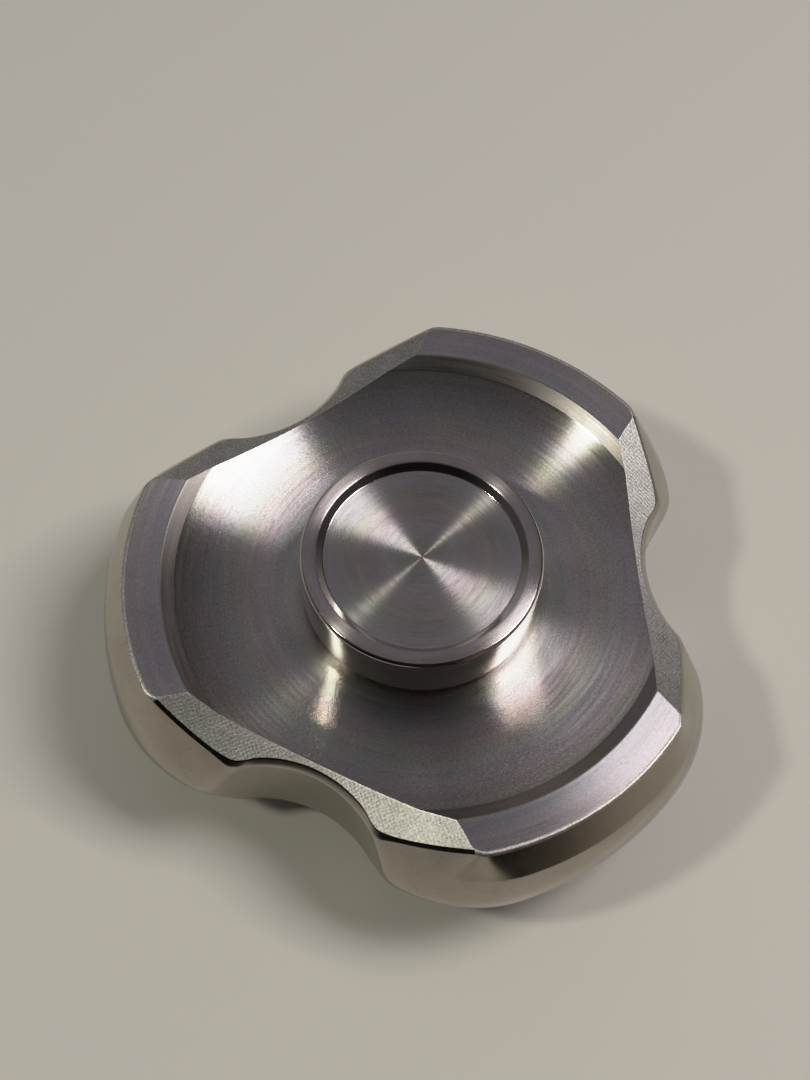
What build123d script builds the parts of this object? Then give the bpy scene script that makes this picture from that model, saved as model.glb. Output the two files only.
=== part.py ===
from build123d import *
import math
import os

os.makedirs("parts", exist_ok=True)

# Three-lobed metal fidget spinner on an R188 bearing, in mm.
# Origin: centre of the rim the spinner rests on, on the spin axis. +Z is up.
# One lobe points along +Y, the others 120 degrees either side of it.

# ---- spin axis stack ----
BUTTON_TOP = 20.6           # overall height, rest plane to the top button's rim
MID = BUTTON_TOP / 2        # height of the mid-plane everything mirrors about

# ---- rotor blank ----
LOBES = 3
LOBE_PITCH = 360 / LOBES
FIRST_SCALLOP = 30          # direction of the first finger scallop, degrees
HALF_T = 7.0                # half the rotor thickness at the lobe tips
TIP_R = 29.6                # reach of a lobe tip at the mid-plane
BARREL_R = 11.4             # crown radius of the tip walls, seen from the side
FLANK_R = 25.5              # distance of a flank wall from the axis at the mid-plane
FLANK_CREST = 1.2           # roundness of the flank wall's crest
FLANK_SLOPE = 0.68          # slope of the flank wall above and below its crest
CORNER_MID_R = 14.0         # lobe corner radius at the mid-plane
CORNER_TOP_R = 1.8          # lobe corner radius at the tip faces
SECTIONS = 9                # outlines the wall is drawn through

# ---- rotor dish, valleys and scallops ----
DISH_FLOOR = 3.8            # flat floor round the bearing, above the mid-plane
DISH_FLAT_R = 11.5
DISH_ARC_R = 26.6           # radius of the curved dish wall
BAND_IN_R = 22.45           # steeper band between dish and tip face
BAND_OUT_R = 23.76
VALLEY_R = 55.7             # radius of the shallow milled valleys
VALLEY_TILT = 21.0          # fall of a valley towards its scallop, degrees
VALLEY_AT = 20.2            # where the valley's lowest line leaves the dish
SCALLOP_R = 11.0            # finger scallop
SCALLOP_REACH = 32.2        # axis to scallop centre
SCALLOP_CORNER_R = 3.2      # rounding where a scallop runs into the flank
LIP_CHAMFER = 0.55          # chamfer along a scallop's upper and lower edge
LIP_SPAN = 6.0              # half width the lip chamfer is fitted over
CUT_OVER = 1.0              # how far cutters run past the surface

# ---- R188 bearing ----
BEARING_OD = 12.7
BEARING_BORE = 6.35
BEARING_W = 4.7625
BALL_D = 1.5875
BALL_COUNT = 10
PITCH_R = (BEARING_OD + BEARING_BORE) / 4
GROOVE_CLEAR = 0.015        # play between ball and groove
GROOVE_R = BALL_D / 2 + GROOVE_CLEAR
OUTER_LAND_R = 5.28
INNER_LAND_R = 4.25
RING_EDGE = 0.15            # chamfer on the bearing ring corners
CAGE_IN_R = 4.45
CAGE_OUT_R = 5.05
CAGE_W = 2.5
POCKET_R = 0.83

# ---- bearing seat and lock ring ----
LIP_BORE_R = 5.6            # rotor's lower lip under the bearing's outer ring
LOCK_OD = 14.0
LOCK_ID = 11.0
LOCK_T = 1.3
NOTCH_W = 1.4               # spanner notches
NOTCH_L = 1.8
NOTCH_DEPTH = 0.7

# ---- buttons ----
BUTTON_R = 11.0
BUTTON_T = 5.4
BUTTON_EDGE = 0.25
RECESS_TOP_R = 9.6
RECESS_FLOOR_R = 8.95
RECESS_DEPTH = 0.6
BOSS_R = 4.1
SHIM_T = 0.3
SHIM_BORE_R = 3.2
SPIGOT_R = 3.165            # slides into the bearing bore
SPIGOT_GAP = 0.5            # left between the two spigot ends
SPIGOT_EDGE = 0.25

# ---- joining stud ----
STUD_R = 2.0
STUD_L = 8.0
STUD_EDGE = 0.4
STUD_HOLE_TOP = 4.6         # depth of each button's blind thread above the mid-plane
HEX_ACROSS = 2.0
HEX_DEPTH = 1.8


def finish(part, name):
    """Name a sub-part and write its STEP file."""
    part.label = name
    export_step(part, f"parts/{name}.step")
    print(name, "volume", round(part.volume, 2))


def radial(angle, rise, out):
    """Direction that leans out along a compass angle and up along +Z."""
    return Vector(out * math.cos(angle), out * math.sin(angle), rise)


def dish_height(radius):
    """Height of the curved dish wall above the mid-plane."""
    run = radius - DISH_FLAT_R
    return DISH_FLOOR + DISH_ARC_R - math.sqrt(DISH_ARC_R**2 - run**2)


def valley_height(radius, lateral):
    """Height of the milled valley above the mid-plane."""
    bow = VALLEY_R - math.sqrt(VALLEY_R**2 - lateral**2)
    along = (radius - VALLEY_AT - bow * math.sin(VALLEY_FALL)) / math.cos(VALLEY_FALL)
    return dish_height(VALLEY_AT) - along * math.sin(VALLEY_FALL) + bow * math.cos(VALLEY_FALL)


def button_points(side):
    """Half section of a button: radius and height, side +1 above, -1 below."""
    face = BUTTON_TOP - MID
    under = face - BUTTON_T
    seat = BEARING_W / 2 + SHIM_T
    end = SPIGOT_GAP / 2
    section = [
        (0, face - RECESS_DEPTH),
        (RECESS_FLOOR_R, face - RECESS_DEPTH),
        (RECESS_TOP_R, face),
        (BUTTON_R - BUTTON_EDGE, face),
        (BUTTON_R, face - BUTTON_EDGE),
        (BUTTON_R, under + BUTTON_EDGE),
        (BUTTON_R - BUTTON_EDGE, under),
        (BOSS_R, under),
        (BOSS_R, seat),
        (SPIGOT_R, seat),
        (SPIGOT_R, end + SPIGOT_EDGE),
        (SPIGOT_R - SPIGOT_EDGE, end),
        (STUD_R, end),
        (STUD_R, STUD_HOLE_TOP),
        (0, STUD_HOLE_TOP),
    ]
    return [(radius, MID + side * height) for radius, height in section]


VALLEY_FALL = math.radians(VALLEY_TILT)
SCALLOP_NEAR = SCALLOP_REACH - SCALLOP_R
LIP_FAR = SCALLOP_REACH - math.sqrt(SCALLOP_R**2 - LIP_SPAN**2)
LIP_RISE = valley_height(LIP_FAR, LIP_SPAN) - valley_height(SCALLOP_NEAR, 0)
LIP_RUN = math.hypot(LIP_FAR - SCALLOP_NEAR, LIP_RISE)
LIP_FALL = math.atan2(-LIP_RISE, LIP_FAR - SCALLOP_NEAR)
LIP_R = (LIP_SPAN**2 + LIP_RUN**2) / (2 * LIP_RUN)

# The machined body: walls lofted through outlines, then dished from both faces.
with BuildPart() as rotor_body:
    for step in range(SECTIONS):
        height = HALF_T * (2 * step / (SECTIONS - 1) - 1)
        tip = TIP_R - BARREL_R + math.sqrt(BARREL_R**2 - height**2)
        flank = FLANK_R + FLANK_CREST - math.hypot(FLANK_CREST, FLANK_SLOPE * height)
        corner = CORNER_MID_R - (CORNER_MID_R - CORNER_TOP_R) * (height / HALF_T) ** 2
        with BuildSketch(Plane.XY.offset(MID + height)) as outline:
            Circle(tip)
            RegularPolygon(flank, LOBES, major_radius=False, rotation=90, mode=Mode.INTERSECT)
            fillet(outline.vertices(), corner)
            with PolarLocations(SCALLOP_REACH, LOBES, start_angle=FIRST_SCALLOP):
                Circle(SCALLOP_R, mode=Mode.SUBTRACT)
            fillet(outline.vertices().group_by(SortBy.DISTANCE)[0], SCALLOP_CORNER_R)
    loft()
    for side in (1, -1):
        # Dish: flat floor, curved wall, steeper band up to the tip faces.
        arc_mid_r = (DISH_FLAT_R + BAND_IN_R) / 2
        floor_z = MID + side * DISH_FLOOR
        arc_mid_z = MID + side * dish_height(arc_mid_r)
        arc_end_z = MID + side * dish_height(BAND_IN_R)
        face_z = MID + side * HALF_T
        clear_z = MID + side * (HALF_T + CUT_OVER)
        with BuildSketch(Plane.XZ):
            with BuildLine():
                Line((0, floor_z), (DISH_FLAT_R, floor_z))
                ThreePointArc((DISH_FLAT_R, floor_z), (arc_mid_r, arc_mid_z), (BAND_IN_R, arc_end_z))
                Line((BAND_IN_R, arc_end_z), (BAND_OUT_R, face_z))
                Polyline((BAND_OUT_R, face_z), (BAND_OUT_R, clear_z), (0, clear_z), (0, floor_z))
            make_face()
        revolve(axis=Axis.Z, mode=Mode.SUBTRACT)
        for lobe in range(LOBES):
            angle = math.radians(FIRST_SCALLOP + lobe * LOBE_PITCH)
            # Valley: a tilted shallow trough running out to the scallop.
            run_dir = radial(angle, -side * math.sin(VALLEY_FALL), math.cos(VALLEY_FALL))
            up_dir = radial(angle, side * math.cos(VALLEY_FALL), math.sin(VALLEY_FALL))
            lowest = radial(angle, MID + side * dish_height(VALLEY_AT), VALLEY_AT)
            start = lowest + up_dir * VALLEY_R - run_dir * SCALLOP_CORNER_R * 2.5
            with BuildSketch(Plane(origin=start, z_dir=run_dir)):
                Circle(VALLEY_R)
            extrude(amount=TIP_R, mode=Mode.SUBTRACT)
            # Lip chamfer: a cone leaning with the valley, riding the scallop edge.
            lip_up = radial(angle, side * math.cos(LIP_FALL), math.sin(LIP_FALL))
            lip_out = radial(angle, -side * math.sin(LIP_FALL), math.cos(LIP_FALL))
            edge = radial(angle, MID + side * valley_height(SCALLOP_NEAR, 0), SCALLOP_NEAR)
            centre = edge + lip_out * LIP_R - lip_up * LIP_CHAMFER / 2
            with Locations(Plane(origin=centre, z_dir=lip_up)):
                Cone(LIP_R - 0.3, LIP_R + 0.3 + LIP_CHAMFER, LIP_CHAMFER + 0.6, mode=Mode.SUBTRACT)
    # Bearing seat from above, lip below, thread relief for the lock ring.
    with Locations((0, 0, MID - HALF_T)):
        Cylinder(LIP_BORE_R, 2 * HALF_T, align=(Align.CENTER, Align.CENTER, Align.MIN), mode=Mode.SUBTRACT)
    with Locations((0, 0, MID - BEARING_W / 2)):
        Cylinder(BEARING_OD / 2, HALF_T, align=(Align.CENTER, Align.CENTER, Align.MIN), mode=Mode.SUBTRACT)
    with Locations((0, 0, MID + BEARING_W / 2)):
        Cylinder(LOCK_OD / 2, HALF_T, align=(Align.CENTER, Align.CENTER, Align.MIN), mode=Mode.SUBTRACT)
finish(rotor_body.part, "rotor_body")

# Threaded ring that holds the bearing in the rotor, with two spanner notches.
with BuildPart() as bearing_lock_ring:
    with BuildSketch(Plane.XY.offset(MID + BEARING_W / 2)):
        Circle(LOCK_OD / 2)
        Circle(LOCK_ID / 2, mode=Mode.SUBTRACT)
    extrude(amount=LOCK_T)
    with Locations((0, 0, MID + BEARING_W / 2 + LOCK_T)):
        with PolarLocations(LOCK_ID / 2, 2):
            Box(NOTCH_L, NOTCH_W, 2 * NOTCH_DEPTH, mode=Mode.SUBTRACT)
finish(bearing_lock_ring.part, "bearing_lock_ring")

# Bearing rings, turned with a ball groove each.
with BuildPart() as bearing_outer_ring:
    with BuildSketch(Plane.XZ) as ring_section:
        with Locations(((BEARING_OD / 2 + OUTER_LAND_R) / 2, MID)):
            Rectangle(BEARING_OD / 2 - OUTER_LAND_R, BEARING_W)
        chamfer(ring_section.vertices(), RING_EDGE)
        with Locations((PITCH_R, MID)):
            Circle(GROOVE_R, mode=Mode.SUBTRACT)
    revolve(axis=Axis.Z)
finish(bearing_outer_ring.part, "bearing_outer_ring")

with BuildPart() as bearing_inner_ring:
    with BuildSketch(Plane.XZ) as ring_section:
        with Locations(((BEARING_BORE / 2 + INNER_LAND_R) / 2, MID)):
            Rectangle(INNER_LAND_R - BEARING_BORE / 2, BEARING_W)
        chamfer(ring_section.vertices(), RING_EDGE)
        with Locations((PITCH_R, MID)):
            Circle(GROOVE_R, mode=Mode.SUBTRACT)
    revolve(axis=Axis.Z)
finish(bearing_inner_ring.part, "bearing_inner_ring")

# Cage: a plain ring with one radial pocket per ball.
with BuildPart() as bearing_cage:
    with BuildSketch(Plane.XY.offset(MID - CAGE_W / 2)):
        Circle(CAGE_OUT_R)
        Circle(CAGE_IN_R, mode=Mode.SUBTRACT)
    extrude(amount=CAGE_W)
    with Locations((0, 0, MID)):
        with PolarLocations(PITCH_R, BALL_COUNT):
            Cylinder(POCKET_R, 2 * BALL_D, rotation=(0, 90, 0), mode=Mode.SUBTRACT)
finish(bearing_cage.part, "bearing_cage")

for number in range(BALL_COUNT):
    turn = 2 * math.pi * number / BALL_COUNT
    with BuildPart() as ball:
        with Locations((PITCH_R * math.cos(turn), PITCH_R * math.sin(turn), MID)):
            Sphere(BALL_D / 2)
    finish(ball.part, f"ball_{number + 1:02d}")

# Finger buttons: dished disc, boss down to the shim, spigot in the bearing bore.
with BuildPart() as top_button:
    with BuildSketch(Plane.XZ):
        with BuildLine():
            Polyline(*button_points(1), close=True)
        make_face()
    revolve(axis=Axis.Z)
finish(top_button.part, "top_button")

with BuildPart() as bottom_button:
    with BuildSketch(Plane.XZ):
        with BuildLine():
            Polyline(*button_points(-1), close=True)
        make_face()
    revolve(axis=Axis.Z)
finish(bottom_button.part, "bottom_button")

# Headless stud joining the buttons through the bearing.
with BuildPart() as button_stud:
    with Locations((0, 0, MID)):
        Cylinder(STUD_R, STUD_L)
    chamfer(button_stud.edges().filter_by(GeomType.CIRCLE), STUD_EDGE)
    with BuildSketch(Plane.XY.offset(MID + STUD_L / 2 - HEX_DEPTH)):
        RegularPolygon(HEX_ACROSS / 2, 6, major_radius=False)
    extrude(amount=HEX_DEPTH, mode=Mode.SUBTRACT)
finish(button_stud.part, "button_stud")

# Shims keep the button bosses on the inner ring only.
with BuildPart() as top_shim:
    with BuildSketch(Plane.XY.offset(MID + BEARING_W / 2)):
        Circle(BOSS_R)
        Circle(SHIM_BORE_R, mode=Mode.SUBTRACT)
    extrude(amount=SHIM_T)
finish(top_shim.part, "top_shim")

with BuildPart() as bottom_shim:
    with BuildSketch(Plane.XY.offset(MID - BEARING_W / 2 - SHIM_T)):
        Circle(BOSS_R)
        Circle(SHIM_BORE_R, mode=Mode.SUBTRACT)
    extrude(amount=SHIM_T)
finish(bottom_shim.part, "bottom_shim")
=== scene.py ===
import math

import bmesh
import bpy
import numpy as np
from mathutils import Matrix, Vector


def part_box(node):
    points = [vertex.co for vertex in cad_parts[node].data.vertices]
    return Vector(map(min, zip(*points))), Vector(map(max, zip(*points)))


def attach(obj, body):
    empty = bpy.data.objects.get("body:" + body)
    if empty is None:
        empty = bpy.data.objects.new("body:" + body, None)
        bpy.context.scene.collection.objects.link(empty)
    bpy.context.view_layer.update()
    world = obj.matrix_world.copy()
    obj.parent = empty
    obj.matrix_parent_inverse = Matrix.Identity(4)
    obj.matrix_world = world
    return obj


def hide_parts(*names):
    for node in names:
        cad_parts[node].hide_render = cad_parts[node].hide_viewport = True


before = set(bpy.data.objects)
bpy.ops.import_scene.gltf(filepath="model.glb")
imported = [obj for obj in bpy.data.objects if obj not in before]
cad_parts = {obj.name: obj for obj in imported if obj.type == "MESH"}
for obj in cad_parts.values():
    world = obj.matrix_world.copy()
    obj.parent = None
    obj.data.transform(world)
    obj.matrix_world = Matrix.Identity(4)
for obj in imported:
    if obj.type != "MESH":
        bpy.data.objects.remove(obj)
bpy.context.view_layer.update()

MM = 0.001

# ---- the spinner's measures, from the frame, in mm ----
low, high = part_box("rotor_body")
button_low, button_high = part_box("top_button")
ring_low, ring_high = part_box("bearing_outer_ring")
seat_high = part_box("bearing_lock_ring")[1]
shim_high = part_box("top_shim")[1]
MID = (low.z + high.z) / 2 / MM         # height of the mid-plane
HALF_T = (high.z - low.z) / 2 / MM      # half the rotor's thickness
TIP_R = high.y / MM                     # reach of the lobe that points along +Y
FLANK_R = -low.y / MM                   # distance of the flank walls at the mid-plane
BUTTON_R = button_high.x / MM
BUTTON_TOP = button_high.z / MM
LOCK_R = seat_high.x / MM
BEARING_R = ring_high.x / MM
BEARING_HALF_W = (ring_high.z - ring_low.z) / 2 / MM

# ---- rotor form: the CAD's driving sizes, in mm ----
BARREL_R = 11.4             # crown radius of the tip walls, seen from the side
FLANK_CREST = 1.2           # roundness of the flank wall's crest
FLANK_SLOPE = 0.68          # slope of the flank wall above and below its crest
CORNER_MID_R = 14.0         # lobe corner radius at the mid-plane
CORNER_TOP_R = 1.8          # lobe corner radius at the tip faces
DISH_FLOOR = 3.8            # flat floor round the bearing, above the mid-plane
DISH_FLAT_R = 11.5
DISH_ARC_R = 26.6           # radius of the curved dish wall
BAND_IN_R = 22.45           # steeper band between dish and tip face
BAND_OUT_R = 23.76
VALLEY_R = 55.7             # radius of the shallow milled valleys
VALLEY_FALL = math.radians(21.0)        # fall of a valley towards its scallop
VALLEY_AT = 20.2            # where the valley's lowest line leaves the dish
SCALLOP_R = 11.0            # finger scallop
SCALLOP_REACH = 32.2        # axis to scallop centre
SCALLOP_CORNER_R = 3.2      # rounding where a scallop runs into the flank
FIRST_SCALLOP = 30          # degrees; the three lobes repeat every LOBE_TURN
LOBE_TURN = 120
LIP_SCALLOP = 0.55          # chamfer along a scallop's upper and lower edge
LIP_BORE_R = 5.6            # lower lip under the bearing's outer ring

# ---- what the skin adds to that form: mm, and degrees from a scallop's middle ----
BEVEL_H = 3.75              # height where a tip's flat bevel meets the bulge of its wall
BEVEL_SOFT = 0.22           # half width of the ridge between them
CREASE = 0.11               # half width of the ridges between dish, band, tip face and flat
LIP_EDGE = 0.20             # edge break along the flanks and tips
LIP_BEND = 0.55             # section of the lips: 0.5 is a flat chamfer, 1 is round, as along the tips
FLANK_BLEND = (12, 22)      # between these, the scallop's chamfer narrows to the edge break
TIP_BLEND = (33, 39)        # between these, the edge break becomes round
TIP_STARTS = 35             # from here on, the edge break gets the ridges' lighter metal, a painted highlight

# ---- mesh fineness: rows of faces, and distances in mm ----
SPOKES = 720
FLOOR_ROWS = 5
ARC_ROWS = 16
BAND_ROWS = 3
TIP_ROWS = 6
MILLED_ROWS = 8
LIP_ROWS = 4
BEVEL_ROWS = 5
WALL_ROWS = 10
HOLD = 0.03                 # how far from an edge its neighbours are held flat
RIDGE_GAP = 0.002           # least space kept between two ridges that run together
ROW_GAP = 0.0004            # least space between two rows
MOST_STRETCH = 1.6          # how much wider a lip may get where the outline slants
HALVINGS = 40               # steps that find a root

# ---- materials ----
ACROSS_GRAIN = 0.25         # turns the gloss so that highlights run out from the middle
NOISE_SPAN = (0.3, 0.7)     # where most of a noise's values lie
CLOUD_SPAN = (0.35, 0.65)
GRAIN_SPAN = (0.35, 0.68)
LINE_SPAN = (0.4, 0.7)
SPECK_SPAN = (0.66, 0.74)   # only the highest values make specks


def material(name):
    """A new node material, still empty."""
    finish = bpy.data.materials.new(name)
    finish.use_nodes = True
    finish.node_tree.nodes.clear()
    return finish


class Nodes:
    """Short calls for building the node tree of a material or the world."""

    def __init__(self, owner):
        self.tree = owner.node_tree

    def add(self, kind, **settings):
        node = self.tree.nodes.new(kind)
        for key, value in settings.items():
            setattr(node, key, value)
        return node

    def link(self, source, target):
        self.tree.links.new(source, target)

    def feed(self, socket, value):
        """Feeds a socket from another socket or sets its number."""
        if hasattr(value, "is_linked"):
            self.link(value, socket)
        else:
            socket.default_value = value

    def math(self, operation, a, b=0.0, c=0.0):
        node = self.add("ShaderNodeMath", operation=operation)
        for socket, value in zip(node.inputs, (a, b, c)):
            self.feed(socket, value)
        return node.outputs[0]

    def times(self, a, b):
        return self.math("MULTIPLY", a, b)

    def total(self, *values):
        """Sum of several sockets or numbers."""
        result = values[0]
        for value in values[1:]:
            result = self.math("ADD", result, value)
        return result

    def sine(self, value, factor, shift=0.0):
        return self.math("SINE", self.math("MULTIPLY_ADD", value, factor, shift))

    def vector(self, x, y, z):
        node = self.add("ShaderNodeCombineXYZ")
        for socket, value in zip(node.inputs, (x, y, z)):
            self.feed(socket, value)
        return node.outputs[0]

    def noise(self, place, scale=1.0, detail=2.0, rough=0.5):
        node = self.add("ShaderNodeTexNoise")
        self.link(place, node.inputs["Vector"])
        node.inputs["Scale"].default_value = scale
        node.inputs["Detail"].default_value = detail
        node.inputs["Roughness"].default_value = rough
        return node.outputs["Fac"]

    def ramp(self, value, span, start=0.0, end=1.0):
        """Goes from start to end while the value goes through the span."""
        node = self.add("ShaderNodeMapRange")
        self.link(value, node.inputs["Value"])
        for key, number in zip(("From Min", "From Max", "To Min", "To Max"), (*span, start, end)):
            node.inputs[key].default_value = number
        return node.outputs["Result"]

    def swing(self, noise, by, about=0.0):
        """A number that a noise moves up and down."""
        return self.ramp(noise, NOISE_SPAN, about - by, about + by)

    def shade(self, colour, factor):
        """A colour made lighter or darker by a factor."""
        node = self.add("ShaderNodeVectorMath", operation="SCALE")
        self.feed(node.inputs[0], colour)
        self.feed(node.inputs["Scale"], factor)
        return node.outputs[0]

    def polar(self):
        """Place in the object's own frame, and its radius, angle and height."""
        place = self.add("ShaderNodeTexCoord").outputs["Object"]
        split = self.add("ShaderNodeSeparateXYZ")
        self.link(place, split.inputs[0])
        x, y, z = split.outputs
        radius = self.math("SQRT", self.math("ADD", self.times(x, x), self.times(y, y)))
        return place, radius, self.math("ARCTAN2", y, x), z

    def marks(self, radius, width, angle=0.0, per_radian=0.0, height=0.0):
        """Noise place whose blobs have a width along the radius and a count per radian."""
        return self.vector(self.math("DIVIDE", radius, width), self.times(angle, per_radian), height)

    def metal(self, colour, roughness, relief, strength, depth, anisotropic=0.0):
        """Metal shader with a relief, wired to the output."""
        shader = self.add("ShaderNodeBsdfPrincipled")
        shader.inputs["Metallic"].default_value = 1.0
        self.feed(shader.inputs["Base Color"], colour)
        self.feed(shader.inputs["Roughness"], roughness)
        if anisotropic:
            shader.inputs["Anisotropic"].default_value = anisotropic
            shader.inputs["Anisotropic Rotation"].default_value = ACROSS_GRAIN
            tangent = self.add("ShaderNodeTangent", direction_type="RADIAL", axis="Z")
            self.link(tangent.outputs[0], shader.inputs["Tangent"])
        bump = self.add("ShaderNodeBump")
        bump.inputs["Strength"].default_value = strength
        bump.inputs["Distance"].default_value = depth
        self.link(relief, bump.inputs["Height"])
        self.link(bump.outputs["Normal"], shader.inputs["Normal"])
        self.show(shader)

    def show(self, shader):
        """Wires a shader to the material's output."""
        output = self.add("ShaderNodeOutputMaterial")
        self.link(shader.outputs[0], output.inputs["Surface"])


# lathe marks: their width along the radius and, for the short ones, their count per radian
GROOVE = 0.11 * MM
STEP = 9 * GROOVE
STEP_SHIFT = 1.7            # keeps the steps from following the grooves
DASH = 1.3 * GROOVE
DASH_COUNT = 70.0
STREAK = 3 * GROOVE
STREAK_COUNT = 2.4
CHATTER_WAVE = 2 * math.pi / (0.27 * MM)
CHATTER_COUNT = 420.0
PLAY = 2.2 * MM             # how far the bands of the painted rainbow sheen wander
PLAY_COUNT = 1.5
PAINTED_RAINBOW_WAVE = 2 * math.pi / (5.3 * MM)
PAINTED_RAINBOW_PEAKS = (21.0 * MM, 22.7 * MM, 19.3 * MM)   # radius where red, green and blue of the painted rainbow sheen are strongest


def turned_metal(name, colour, roughness, anisotropic=1.0, grain=0.18, painted_rainbow_sheen=0.035):
    """Metal cut on a lathe: fine rings broken into short dashes, faint chatter marks and a colour play,
    rainbow tints by radius that are a painted sheen for the grooves' diffraction colours.
    """
    finish = material(name)
    nodes = Nodes(finish)
    place, radius, angle, height = nodes.polar()
    rings = nodes.noise(nodes.marks(radius, GROOVE), detail=3.0, rough=0.6)
    steps = nodes.noise(nodes.marks(radius, STEP, height=STEP_SHIFT), rough=0.6)
    dashes = nodes.noise(nodes.marks(radius, DASH, angle, DASH_COUNT, height), detail=1.0)
    streaks = nodes.noise(nodes.marks(radius, STREAK, angle, STREAK_COUNT, height), rough=0.6)
    clouds = nodes.noise(place, scale=160.0, detail=4.0, rough=0.6)
    chatter = nodes.times(nodes.sine(angle, CHATTER_COUNT), nodes.sine(radius, CHATTER_WAVE))
    play = nodes.swing(nodes.noise(nodes.marks(radius, PLAY, angle, PLAY_COUNT)), by=0.8)
    # painted sheen: each colour channel swings with radius, rainbow tints that stand in for the diffraction
    # colours of the highlights
    channels = []
    for channel, peak in zip(colour, PAINTED_RAINBOW_PEAKS):
        phase = nodes.total(nodes.times(radius, PAINTED_RAINBOW_WAVE), play, -peak * PAINTED_RAINBOW_WAVE)
        gain = nodes.math("MULTIPLY_ADD", nodes.math("COSINE", phase), painted_rainbow_sheen, 1.0)
        channels.append(nodes.times(gain, channel))
    rough = nodes.total(nodes.swing(streaks, by=0.04, about=roughness), nodes.swing(clouds, by=0.025))
    light = nodes.total(nodes.swing(dashes, by=grain, about=1.0), nodes.swing(rings, by=0.06),
                        nodes.swing(steps, by=0.06), nodes.ramp(clouds, CLOUD_SPAN, 0.02, -0.10),
                        nodes.times(chatter, 0.07))
    relief = nodes.total(rings, nodes.times(dashes, 0.08))
    nodes.metal(nodes.shade(nodes.vector(*channels), light), rough, relief, strength=0.35, depth=0.004 * MM,
                anisotropic=anisotropic)
    return finish


LINE_COUNT = 9.0            # cutting lines of a polished wall: per radian
LINES_PER_METRE = 9000.0    # and along its height


def polished_metal(name, colour, roughness=0.13):
    """Bright wall metal with faint lines along the cut and handling marks."""
    finish = material(name)
    nodes = Nodes(finish)
    place, _, angle, height = nodes.polar()
    clouds = nodes.noise(place, scale=240.0, detail=3.0, rough=0.55)
    line_place = nodes.vector(nodes.times(angle, LINE_COUNT), nodes.times(height, LINES_PER_METRE), 0.0)
    lines = nodes.noise(line_place)
    specks = nodes.noise(place, scale=2600.0, detail=1.0)
    rough = nodes.total(nodes.swing(clouds, by=0.03, about=roughness),
                        nodes.ramp(lines, LINE_SPAN, 0.0, 0.03), nodes.ramp(specks, SPECK_SPAN, 0.0, 0.10))
    light = nodes.total(nodes.ramp(clouds, CLOUD_SPAN, 1.04, 0.92), nodes.swing(lines, by=0.03),
                        nodes.ramp(specks, SPECK_SPAN, 0.0, -0.12))
    nodes.metal(nodes.shade(colour, light), rough, lines, strength=0.06, depth=0.008 * MM)
    return finish


DIMPLE_WAVE = 2 * math.pi / (0.45 * MM)
DIMPLE_DRIFT = 5.0          # how far the rows of dimples wander, in radians of their wave


def milled_metal(name, colour, roughness, dimple=0.0):
    """Metal cut by an end mill: grains painted lighter and darker at random, partly the metal's grain and
    partly painted glints, and, on the flats, dimples in rows across and along each.
    """
    finish = material(name)
    nodes = Nodes(finish)
    place, radius, angle, _ = nodes.polar()
    half_lobe = math.radians(LOBE_TURN / 2)
    from_flat = nodes.math("SUBTRACT", angle, math.radians(FIRST_SCALLOP))
    around = nodes.math("WRAP", from_flat, half_lobe, -half_lobe)
    across = nodes.times(radius, nodes.math("SINE", around))
    along = nodes.times(radius, nodes.math("COSINE", around))
    drift = nodes.times(nodes.noise(place, scale=700.0), DIMPLE_DRIFT)
    pattern = nodes.times(nodes.sine(across, DIMPLE_WAVE, drift), nodes.sine(along, DIMPLE_WAVE, drift))
    dimples = nodes.times(pattern, dimple)
    grain = nodes.noise(place, scale=5200.0, rough=0.6)
    clouds = nodes.noise(place, scale=320.0, detail=3.0, rough=0.6)
    # the grain's lighter and darker specks: partly the metal's own grain, partly painted glints
    light = nodes.total(nodes.ramp(grain, GRAIN_SPAN, 0.72, 1.25), nodes.times(dimples, 0.25),
                        nodes.ramp(clouds, CLOUD_SPAN, 0.05, -0.10))
    relief = nodes.total(nodes.times(grain, 2.4), dimples)
    nodes.metal(nodes.shade(colour, light), roughness, relief, strength=0.8, depth=0.012 * MM)
    return finish


TURNED = turned_metal("rotor_turned", (0.615, 0.575, 0.56), 0.23)
# painted shade: the band's base colour is the turned metal's lowered for the shade of the steep band; its
# roughness and grain are its own
BAND_PAINTED_SHADE = turned_metal("rotor_band_painted_shade", (0.345, 0.31, 0.295), 0.36, anisotropic=0.5, grain=0.08, painted_rainbow_sheen=0.0)
TIP = turned_metal("rotor_tip", (0.58, 0.545, 0.56), 0.295, anisotropic=0.85, grain=0.12)
MILLED = milled_metal("rotor_milled", (0.55, 0.535, 0.51), 0.46, dimple=0.42)
# painted highlight: a lighter copy of the milled metal for the ridges and the tips' edge breaks, so they
# show as bright lines
EDGE_PAINTED_HIGHLIGHT = milled_metal("rotor_edge_painted_highlight", (0.66, 0.62, 0.60), 0.42)
POLISHED = polished_metal("rotor_polished", (0.41, 0.375, 0.325))
BUTTON_FACE = turned_metal("button_turned", (0.62, 0.575, 0.56), 0.27, grain=0.10)
BUTTON_SIDE = polished_metal("button_polished", (0.60, 0.55, 0.50), 0.08)
STEEL = polished_metal("bearing_steel", (0.60, 0.60, 0.60), 0.10)
CAGE = milled_metal("cage_metal", (0.55, 0.54, 0.52), 0.35)
DARK = milled_metal("stud_metal", (0.16, 0.16, 0.17), 0.38)

INNER_FINISHES = {"bearing_cage": CAGE, "button_stud": DARK, "bearing_lock_ring": TURNED}
for node_name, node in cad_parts.items():
    node.data.materials.clear()
    node.data.materials.append(INNER_FINISHES.get(node_name, STEEL))


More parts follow.
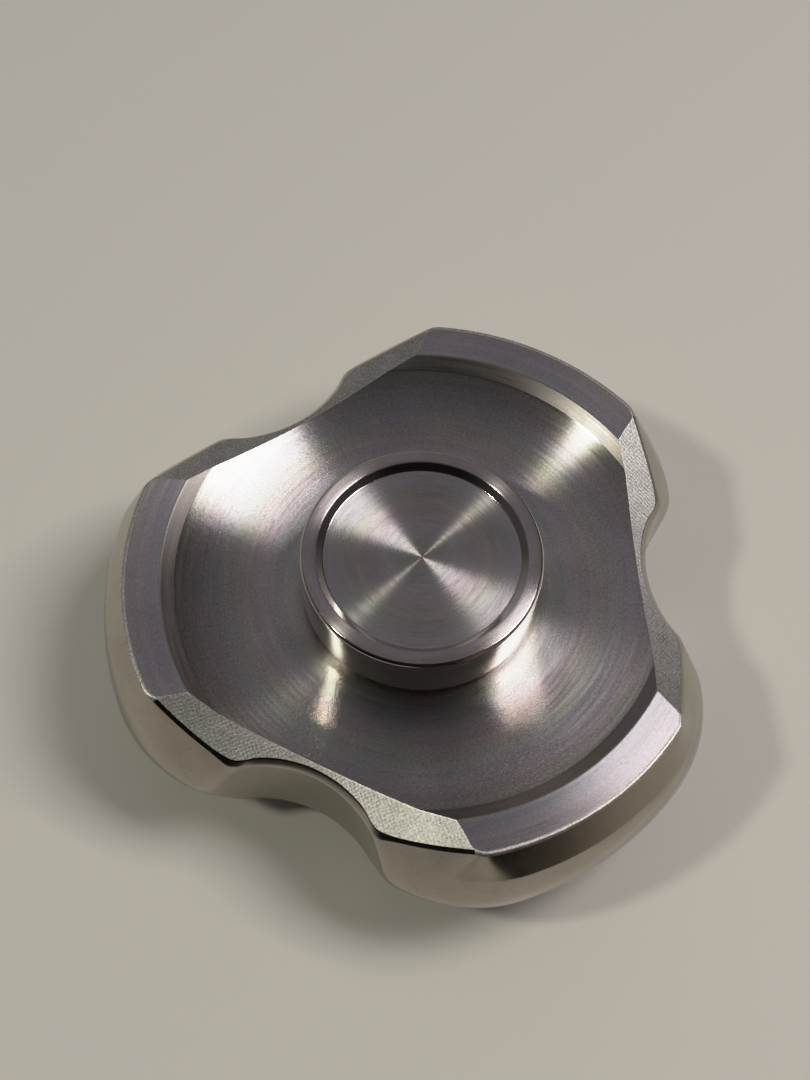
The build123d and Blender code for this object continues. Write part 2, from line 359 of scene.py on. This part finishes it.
# ---- rotor skin: its wall and its upper surface, as formulas ----
def hit(spoke, centre_side, centre_out, radius, far=True):
    """Where a spoke, at an angle from the scallop's axis, meets a circle."""
    along = centre_side * np.sin(spoke) + centre_out * np.cos(spoke)
    root = np.sqrt(np.maximum(radius**2 - centre_side**2 - centre_out**2 + along**2, 0))
    return along + root if far else along - root


def tip_radius(height):
    """Section of a lobe tip: a bulge in the middle, a straight bevel above and below."""
    bulge = TIP_R - BARREL_R + np.sqrt(BARREL_R**2 - np.minimum(np.abs(height), BEVEL_H) ** 2)
    bevel_r, top_r = [TIP_R - BARREL_R + math.sqrt(BARREL_R**2 - h**2) for h in (BEVEL_H, HALF_T)]
    along = np.maximum(np.abs(height) - BEVEL_H, 0) / (HALF_T - BEVEL_H)
    return bulge - (bevel_r - top_r) * along


def wall_radius(spoke, height):
    """Outline of the rotor: spoke is the angle from the nearest scallop, height from the mid-plane."""
    tip = tip_radius(height)
    flank = FLANK_R + FLANK_CREST - np.hypot(FLANK_CREST, FLANK_SLOPE * height)
    corner = CORNER_MID_R - (CORNER_MID_R - CORNER_TOP_R) * (height / HALF_T) ** 2
    corner_side = np.sqrt((tip - corner) ** 2 - (flank - corner) ** 2)
    soft_out = flank - SCALLOP_CORNER_R
    soft_reach = SCALLOP_R + SCALLOP_CORNER_R
    soft_side = np.sqrt(soft_reach**2 - (SCALLOP_REACH - soft_out) ** 2)
    meet_side = soft_side * SCALLOP_R / soft_reach
    meet_out = SCALLOP_REACH - (SCALLOP_REACH - soft_out) * SCALLOP_R / soft_reach
    return np.select(
        [
            spoke < np.arctan2(meet_side, meet_out),
            spoke < np.arctan2(soft_side, flank),
            spoke < np.arctan2(corner_side, flank),
            spoke < np.arctan2(corner_side, flank - corner),
        ],
        [
            hit(spoke, 0, SCALLOP_REACH, SCALLOP_R, far=False),
            hit(spoke, soft_side, soft_out, SCALLOP_CORNER_R),
            flank / np.cos(spoke),
            hit(spoke, corner_side, flank - corner, corner),
        ],
        tip,
    )


def dish_height(radius):
    """Turned profile: flat floor, arc, steeper band, then on upwards past the tip face."""
    arc_run = BAND_IN_R - DISH_FLAT_R
    run = np.clip(radius - DISH_FLAT_R, 0, arc_run)
    arc = DISH_FLOOR + DISH_ARC_R - np.sqrt(DISH_ARC_R**2 - run**2)
    arc_end = DISH_FLOOR + DISH_ARC_R - math.sqrt(DISH_ARC_R**2 - arc_run**2)
    slope = (HALF_T - arc_end) / (BAND_OUT_R - BAND_IN_R)
    return arc + slope * np.maximum(radius - BAND_IN_R, 0)


VALLEY_HEIGHT = float(dish_height(VALLEY_AT))


def valley_height(radius, spoke):
    """Milled valley that falls towards the scallop."""
    bow = VALLEY_R - np.sqrt(VALLEY_R**2 - (radius * np.sin(spoke)) ** 2)
    along = (radius * np.cos(spoke) - VALLEY_AT - bow * math.sin(VALLEY_FALL)) / math.cos(VALLEY_FALL)
    return VALLEY_HEIGHT - along * math.sin(VALLEY_FALL) + bow * math.cos(VALLEY_FALL)


def top_height(radius, spoke):
    """Upper surface of the rotor above the mid-plane."""
    return np.minimum(np.minimum(dish_height(radius), valley_height(radius, spoke)), HALF_T)


def bisect(function, low_end, high_end):
    """Root of a function that falls from the low end to the high end, for every spoke at once."""
    a, b = np.full(SPOKES, low_end), np.full(SPOKES, high_end)
    for _ in range(HALVINGS):
        middle = (a + b) / 2
        above = function(middle) > 0
        a, b = np.where(above, middle, a), np.where(above, b, middle)
    return (a + b) / 2


def eased(value, start, end):
    """Smooth step from 0 at start to 1 at end."""
    step = np.clip((value - start) / (end - start), 0, 1)
    return step * step * (3 - 2 * step)


def ramp_rows(start, end, count):
    """Rows from start to end, without the last."""
    return [start + (end - start) * step for step in np.arange(count) / count]


def full_turn(count):
    """Angles that share a turn out evenly."""
    return 2 * np.pi * np.arange(count) / count


# ---- rotor skin: where its edges and ridges run on each spoke ----
turn = full_turn(SPOKES)
from_scallop = np.abs((np.degrees(turn) - FIRST_SCALLOP + LOBE_TURN / 2) % LOBE_TURN - LOBE_TURN / 2)
spoke = np.radians(from_scallop)

edge_z = bisect(lambda z: top_height(wall_radius(spoke, z), spoke) - z, 0.0, HALF_T)
edge_r = wall_radius(spoke, edge_z)
slant = np.gradient(np.concatenate([edge_r[-1:], edge_r, edge_r[:1]]))[1:-1] / (edge_r * turn[1])
stretch = np.clip(np.sqrt(1 + slant**2), 1, MOST_STRETCH)
lip = LIP_SCALLOP + (LIP_EDGE - LIP_SCALLOP) * eased(from_scallop, *FLANK_BLEND)
lip_r = edge_r - lip * stretch
wall_top = edge_z - lip
wall_lip_r = wall_radius(spoke, wall_top)

# towards a scallop the ridges run together, and there they keep their order
ridge = bisect(lambda r: valley_height(r, spoke) - np.minimum(dish_height(r), HALF_T), DISH_FLAT_R, TIP_R)
ridge = np.minimum(ridge, lip_r - 2 * RIDGE_GAP)
band_in = np.minimum(BAND_IN_R, ridge - 6 * RIDGE_GAP)
band_out = np.minimum(BAND_OUT_R, ridge - 3 * RIDGE_GAP)
band_from = np.minimum(band_in + CREASE, band_out)
band_to = np.maximum(band_out - CREASE, band_in)
tip_from = np.minimum(band_out + CREASE, ridge)
tip_to = np.maximum(ridge - CREASE, band_out)
milled_from = np.minimum(ridge + CREASE, lip_r)
milled_to = lip_r - HOLD

# ---- rotor skin: its rings of vertices, each with the zone of the run that follows ----
upper_face = [              # zone and radii, from the bearing outward
    ("turned", ramp_rows(LOCK_R, DISH_FLAT_R, FLOOR_ROWS)),
    ("turned", ramp_rows(DISH_FLAT_R, band_in - CREASE, ARC_ROWS)),
    ("turned", [band_in - CREASE, band_in]),
    ("band", ramp_rows(band_from, band_to, BAND_ROWS)),
    ("band", [np.maximum(band_out - CREASE, band_in + RIDGE_GAP), band_out]),
    ("tip", ramp_rows(tip_from, tip_to, TIP_ROWS)),
    ("edge", [np.maximum(ridge - CREASE, band_out + RIDGE_GAP), ridge]),
    ("milled", ramp_rows(milled_from, milled_to, MILLED_ROWS)),
    ("milled", [milled_to]),
    ("lip", [lip_r]),
]
face = []                   # (radius, height above the mid-plane, zone)
radius = np.zeros(SPOKES)
for zone, radii in upper_face:
    for r in radii:
        radius = np.maximum(r, radius + ROW_GAP)
        face.append((radius, top_height(radius, spoke), zone))

bore = [(LIP_BORE_R, -DISH_FLOOR), (LIP_BORE_R, -BEARING_HALF_W), (BEARING_R, -BEARING_HALF_W),
        (BEARING_R, BEARING_HALF_W), (LOCK_R, BEARING_HALF_W)]

bend = LIP_BEND + (1 - LIP_BEND) * eased(from_scallop, *TIP_BLEND)
pull_r = (lip_r + wall_lip_r) * (1 - bend) + edge_r * (2 * bend - 1)
pull_z = (face[-1][1] + wall_top) * (1 - bend) + edge_z * (2 * bend - 1)
rounded = []                # a lip's section: a curve from the face to the wall, pulled towards the edge
for k in range(1, LIP_ROWS):
    t = k / LIP_ROWS
    rounded.append((
        (1 - t) ** 2 * lip_r + 2 * t * (1 - t) * pull_r + t**2 * wall_lip_r,
        (1 - t) ** 2 * face[-1][1] + 2 * t * (1 - t) * pull_z + t**2 * wall_top,
        "lip",
    ))

upper_wall = [wall_top, wall_top - HOLD]
upper_wall += ramp_rows(wall_top - HOLD, BEVEL_H + BEVEL_SOFT, BEVEL_ROWS)[1:]
upper_wall += [BEVEL_H + BEVEL_SOFT, BEVEL_H, BEVEL_H - BEVEL_SOFT]
upper_wall += ramp_rows(BEVEL_H - BEVEL_SOFT, 0.0, WALL_ROWS)[1:]
wall_heights = upper_wall + [0.0] + [-z for z in upper_wall[:0:-1]]

skin = [(r, z, "lip") for r, z in bore]
skin += face + rounded
skin += [(wall_radius(spoke, z), z, "wall") for z in wall_heights]
skin.append((wall_radius(spoke, -wall_top), -wall_top, "lip"))
skin += [(r, -z, "lip") for r, z, _ in rounded[::-1]]
# the lower face runs back inward, so that each ring has the zone of the run before it
zones_back = [zone for _, _, zone in face[-2::-1]] + ["turned"]
skin += [(r, -z, zone) for (r, z, _), zone in zip(face[::-1], zones_back)]


def build(name, vertices, quads, zones, sharp_rings, ring_size):
    """Mesh object from rings of vertices; zones holds the material of the run after each ring."""
    mesh = bpy.data.meshes.new(name)
    mesh.from_pydata(vertices, [], quads)
    for finish in dict.fromkeys(zones):
        mesh.materials.append(finish)
    slots = {finish.name: k for k, finish in enumerate(mesh.materials)}
    for polygon in mesh.polygons:
        polygon.use_smooth = True
        polygon.material_index = slots[zones[polygon.index // ring_size].name]
    for edge in mesh.edges:
        a, b = edge.vertices
        if a // ring_size == b // ring_size and a // ring_size in sharp_rings:
            edge.use_edge_sharp = True
    # the shaders' radial tangent turns about the middle of the texture space
    mesh.use_auto_texspace = False
    mesh.texspace_location = (0, 0, MID * MM)
    mesh.texspace_size = (TIP_R * MM, TIP_R * MM, TIP_R * MM)
    piece = bpy.data.objects.new(name, mesh)
    bpy.context.scene.collection.objects.link(piece)
    return piece


def ring_mesh(name, rings, finishes, sharp_rings, angles):
    """Skins a stack of rings; ring k joins ring k + 1, and the last joins the first."""
    count = len(angles)
    cos, sin = np.cos(angles), np.sin(angles)
    points = np.concatenate([
        np.stack(np.broadcast_arrays(r * cos, r * sin, MID + z), axis=1) for r, z, _ in rings
    ]) * MM
    zones = [finishes[zone] for _, _, zone in rings]
    quads = []
    for k in range(len(rings)):
        a, b = k * count, (k + 1) % len(rings) * count
        for i in range(count):
            j = (i + 1) % count
            quads.append((a + i, b + i, b + j, a + j))
    return build(name, points.tolist(), quads, zones, sharp_rings, count)


ROTOR_FINISHES = {"turned": TURNED, "band": BAND_PAINTED_SHADE, "tip": TIP, "milled": MILLED, "edge": EDGE_PAINTED_HIGHLIGHT,
                  "lip": POLISHED, "wall": POLISHED}
rotor = ring_mesh("rotor_skin", skin, ROTOR_FINISHES, set(range(len(bore) + 1)), turn)
upper_lip = len(bore) + len(face) - 1
lower_lip = upper_lip + LIP_ROWS + len(wall_heights)
lip_rings = {first + k for first in (upper_lip, lower_lip) for k in range(LIP_ROWS)}
# the tips' edge breaks get the lighter ridge metal: painted highlight
painted_highlight_slot = rotor.data.materials.find(EDGE_PAINTED_HIGHLIGHT.name)
for polygon in rotor.data.polygons:
    ring, k = divmod(polygon.index, SPOKES)
    if from_scallop[k] > TIP_STARTS and ring in lip_rings:
        polygon.material_index = painted_highlight_slot
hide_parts("rotor_body")
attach(rotor, "rotor")

# ---- finger buttons, mm: the CAD's sizes with softened edges ----
BUTTON_SPOKES = 256
BUTTON_SOFT = 0.09          # rounding of a button's machined edges
BUTTON_FACE_H = BUTTON_TOP - MID
BUTTON_UNDER = 4.9          # height of the disc's lower face above the mid-plane
BUTTON_EDGE = 0.25          # chamfer on the disc
RECESS_TOP_R = 9.6
RECESS_FLOOR_R = 8.95
RECESS_DEPTH = 0.6
BOSS_R = 4.1
BOSS_SEAT = shim_high.z / MM - MID
SPIGOT_R = 3.165            # slides into the bearing bore
SPIGOT_END = button_low.z / MM - MID
SPIGOT_EDGE = 0.25
STUD_R = 2.0
STUD_HOLE_TOP = 4.6         # depth of the blind thread above the mid-plane
MERGE_WITHIN = 1e-8         # metres

BUTTON_SECTION = [          # radius, height above the mid-plane, zone of the run that follows
    (0.0, BUTTON_FACE_H - RECESS_DEPTH, "face"),
    (RECESS_FLOOR_R, BUTTON_FACE_H - RECESS_DEPTH, "side"),
    (RECESS_TOP_R, BUTTON_FACE_H, "face"),
    (BUTTON_R - BUTTON_EDGE, BUTTON_FACE_H, "side"),
    (BUTTON_R, BUTTON_FACE_H - BUTTON_EDGE, "side"),
    (BUTTON_R, BUTTON_UNDER + BUTTON_EDGE, "side"),
    (BUTTON_R - BUTTON_EDGE, BUTTON_UNDER, "face"),
    (BOSS_R, BUTTON_UNDER, "side"),
    (BOSS_R, BOSS_SEAT, "face"),
    (SPIGOT_R, BOSS_SEAT, "side"),
    (SPIGOT_R, SPIGOT_END + SPIGOT_EDGE, "side"),
    (SPIGOT_R - SPIGOT_EDGE, SPIGOT_END, "face"),
    (STUD_R, SPIGOT_END, "side"),
    (STUD_R, STUD_HOLE_TOP, "face"),
    (0.0, STUD_HOLE_TOP, "face"),
]


def softened(section, cut):
    """The section with each inner corner replaced by a small three-point rounding."""
    rounded = [section[0]]
    for before, here, after in zip(section, section[1:], section[2:]):
        corner = Vector(here[:2])
        back = (Vector(before[:2]) - corner).normalized() * cut
        ahead = (Vector(after[:2]) - corner).normalized() * cut
        for offset in (back, (back + ahead) / 4, ahead):
            rounded.append((*(corner + offset), here[2]))
    return rounded + [section[-1]]


def button(name, node, side):
    """A finger button turned from the section; side -1 is the lower one."""
    rings = [(r, side * z, zone) for r, z, zone in softened(BUTTON_SECTION, BUTTON_SOFT)]
    finishes = {"face": BUTTON_FACE, "side": BUTTON_SIDE}
    piece = ring_mesh(name, rings, finishes, set(), side * full_turn(BUTTON_SPOKES))
    mesh = bmesh.new()
    mesh.from_mesh(piece.data)
    bmesh.ops.remove_doubles(mesh, verts=mesh.verts, dist=MERGE_WITHIN)
    bmesh.ops.dissolve_degenerate(mesh, edges=mesh.edges, dist=MERGE_WITHIN)
    bmesh.ops.recalc_face_normals(mesh, faces=mesh.faces)
    mesh.to_mesh(piece.data)
    mesh.free()
    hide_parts(node)
    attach(piece, "buttons")


button("top_button_skin", "top_button", 1)
button("bottom_button_skin", "bottom_button", -1)


# ---- lights: they face the spinner where the photo's highlights ask for them ----
def direction(azimuth, elevation):
    """Unit vector towards a compass angle and height angle, in degrees."""
    a, e = math.radians(azimuth), math.radians(elevation)
    return Vector((math.cos(e) * math.cos(a), math.cos(e) * math.sin(a), math.sin(e)))


LIGHT_DISTANCE = 0.60       # metres


def softbox(name, azimuth, elevation, width, height, watts, colour, twist=0.0):
    """Rectangular light that faces the spinner, twisted about its own axis by some degrees."""
    data = bpy.data.lights.new(name, "AREA")
    data.shape = "RECTANGLE"
    data.size, data.size_y = width, height
    data.energy = watts
    data.color = colour
    lamp = bpy.data.objects.new(name, data)
    away = direction(azimuth, elevation)
    lamp.matrix_world = (
        Matrix.Translation(away * LIGHT_DISTANCE)
        @ away.to_track_quat("Z", "Y").to_matrix().to_4x4()
        @ Matrix.Rotation(math.radians(twist), 4, "Z")
    )
    bpy.context.scene.collection.objects.link(lamp)


softbox("window", azimuth=33, elevation=58, width=0.20, height=0.27, watts=1.40,
        colour=(1.0, 0.95, 0.93), twist=-41)
softbox("lamp", azimuth=221, elevation=54, width=0.05, height=0.05, watts=0.60,
        colour=(1.0, 0.99, 0.84))

# ---- flag: a curved dark card, seen only in reflections, a painted reflection of the shade round the spinner; it darkens the nearest tip's bevel ----
FLAG_AZIMUTH = 327          # degrees
FLAG_SPREAD = 41            # degrees to each side
FLAG_DISTANCE = 62 * MM
FLAG_CLOSER = 7 * MM        # one end stands this much closer, the other this much farther off
FLAG_HEIGHT = 70 * MM
FLAG_SEGMENTS = 24
FLAG_REFLECTED_SHADE_COLOUR = (1.0, 0.88, 0.75)
FLAG_TONE_Y = (-42 * MM, -12 * MM)      # along y, it gets lighter over this stretch, a painted reflection of shaded floor
FLAG_REFLECTED_SHADE_TONES = (0.055, 0.65)
FLAG_CLEAR_Y = (-30 * MM, 6 * MM)       # and clear over this one
FLAG_CLEAR_X = (21 * MM, 32 * MM)       # along x, it starts clear and ends solid


def painted_reflection_card():
    """Dull card, a painted reflection of shade, whose tone changes along it and whose two ends fade out."""
    finish = material("painted_reflection_card")
    nodes = Nodes(finish)
    split = nodes.add("ShaderNodeSeparateXYZ")
    nodes.link(nodes.add("ShaderNodeTexCoord").outputs["Object"], split.inputs[0])
    x, y, _ = split.outputs
    card = nodes.add("ShaderNodeBsdfDiffuse")
    nodes.link(nodes.shade(FLAG_REFLECTED_SHADE_COLOUR, nodes.ramp(y, FLAG_TONE_Y, *FLAG_REFLECTED_SHADE_TONES)), card.inputs["Color"])
    clear = nodes.add("ShaderNodeBsdfTransparent")
    fade = nodes.add("ShaderNodeMixShader")
    both_ends = nodes.math("MAXIMUM", nodes.ramp(y, FLAG_CLEAR_Y), nodes.ramp(x, FLAG_CLEAR_X, 1.0, 0.0))
    nodes.link(both_ends, fade.inputs[0])
    nodes.link(card.outputs[0], fade.inputs[1])
    nodes.link(clear.outputs[0], fade.inputs[2])
    nodes.show(fade)
    return finish


flag_points = []
for k in range(FLAG_SEGMENTS + 1):
    side = 2 * k / FLAG_SEGMENTS - 1
    foot = direction(FLAG_AZIMUTH + FLAG_SPREAD * side, 0) * (FLAG_DISTANCE - FLAG_CLOSER * side)
    flag_points += [foot, foot + Vector((0, 0, FLAG_HEIGHT))]
flag_quads = [(2 * k, 2 * k + 2, 2 * k + 3, 2 * k + 1) for k in range(FLAG_SEGMENTS)]
flag_mesh = bpy.data.meshes.new("flag")
flag_mesh.from_pydata(flag_points, [], flag_quads)
flag_mesh.materials.append(painted_reflection_card())
flag = bpy.data.objects.new("flag", flag_mesh)
flag.visible_camera = False
flag.visible_diffuse = False
flag.visible_shadow = False
bpy.context.scene.collection.objects.link(flag)

# ---- camera: where the photo was taken from ----
AIM = Vector((-2.0, 0.58, BUTTON_TOP)) * MM     # the point in the middle of the picture
CAMERA_AZIMUTH = 293.58     # degrees
CAMERA_ELEVATION = 61.98
CAMERA_ROLL = math.radians(2.79)
CAMERA_DISTANCE = 146.95 * MM
LENS = 54.5                 # mm, on a sensor 36 mm wide
SENSOR = 36
NEAREST_SEEN = 5 * MM

camera_data = bpy.data.cameras.new("camera")
camera_data.lens = LENS
camera_data.sensor_width = SENSOR
camera_data.sensor_fit = "AUTO"
camera_data.clip_start = NEAREST_SEEN
camera = bpy.data.objects.new("camera", camera_data)
bpy.context.scene.collection.objects.link(camera)
back = direction(CAMERA_AZIMUTH, CAMERA_ELEVATION)
level = Vector((0, 0, 1)).cross(back).normalized()
right = level * math.cos(CAMERA_ROLL) + back.cross(level) * math.sin(CAMERA_ROLL)
placed = Matrix((right, back.cross(right), back)).transposed().to_4x4()
placed.translation = AIM + back * CAMERA_DISTANCE
camera.matrix_world = placed
bpy.context.scene.camera = camera

# ---- world: a dim room, lighter ahead and at the horizon, darker behind the camera and far right ----
ROOM_COLOUR = (0.97, 0.95, 1.0, 1)
GLOW_SPAN = (0.0, 0.34)     # the glow ends at this height on the unit sphere
GLOW = 0.30

world = bpy.data.worlds.new("studio")
world.use_nodes = True
sky = Nodes(world)
toward = sky.add("ShaderNodeTexCoord").outputs["Generated"]


def sky_patch(azimuth, elevation, span, outside, inside):
    """Strength that changes from outside to inside as the cosine to a direction goes through the span."""
    dot = sky.add("ShaderNodeVectorMath", operation="DOT_PRODUCT")
    sky.link(toward, dot.inputs[0])
    dot.inputs[1].default_value = direction(azimuth, elevation)
    return sky.ramp(dot.outputs["Value"], span, outside, inside)


sky_height = sky.add("ShaderNodeSeparateXYZ")
sky.link(toward, sky_height.inputs[0])
glow = sky.ramp(sky_height.outputs[2], GLOW_SPAN, GLOW, 0.0)
ahead = sky_patch(azimuth=122, elevation=52, span=(0.70, 0.97), outside=0.06, inside=0.20)
behind = sky_patch(azimuth=CAMERA_AZIMUTH, elevation=15, span=(0.30, 0.75), outside=1.0, inside=0.12)
far_right = sky_patch(azimuth=64, elevation=34, span=(0.84, 1.0), outside=1.0, inside=0.3)
room_light = sky.times(sky.times(sky.math("ADD", ahead, glow), behind), far_right)
background = world.node_tree.nodes["Background"]
background.inputs["Color"].default_value = ROOM_COLOUR
sky.link(room_light, background.inputs["Strength"])
bpy.context.scene.world = world

# ---- floor ----
FLOOR_REACH = 1.5           # metres
FLOOR_COLOUR = (0.86, 0.83, 0.755, 1)
FLOOR_ROUGHNESS = 0.6


def floor_card():
    """Plain pale card."""
    finish = material("floor_card")
    nodes = Nodes(finish)
    card = nodes.add("ShaderNodeBsdfPrincipled")
    card.inputs["Base Color"].default_value = FLOOR_COLOUR
    card.inputs["Roughness"].default_value = FLOOR_ROUGHNESS
    nodes.show(card)
    return finish


floor_mesh = bpy.data.meshes.new("floor")
floor_corners = [(x * FLOOR_REACH, y * FLOOR_REACH, 0) for x, y in ((-1, -1), (1, -1), (1, 1), (-1, 1))]
floor_mesh.from_pydata(floor_corners, [], [(0, 1, 2, 3)])
floor_mesh.materials.append(floor_card())
floor = bpy.data.objects.new("floor", floor_mesh)
bpy.context.scene.collection.objects.link(floor)

# ---- tone curve: tones up to KNEE are kept, and brighter ones are pressed towards white ----
KNEE = 0.62
SHOULDER = ((KNEE, KNEE), (1.0, 0.84), (1.6, 0.93), (2.4, 0.97))      # (brightness, tone shown)
BRIGHTEST = 4.0
BRIGHTEST_SHOWN = 0.99

view = bpy.context.scene.view_settings
view.view_transform = "Standard"
view.use_curve_mapping = True
curves = view.curve_mapping
curves.white_level = (BRIGHTEST, BRIGHTEST, BRIGHTEST)
tone = curves.curves[3]
tone.points[1].location = (1.0, BRIGHTEST_SHOWN)
for brightness, shown in SHOULDER:
    tone.points.new(brightness / BRIGHTEST, shown)
for point in tone.points:
    point.handle_type = "VECTOR"
curves.update()
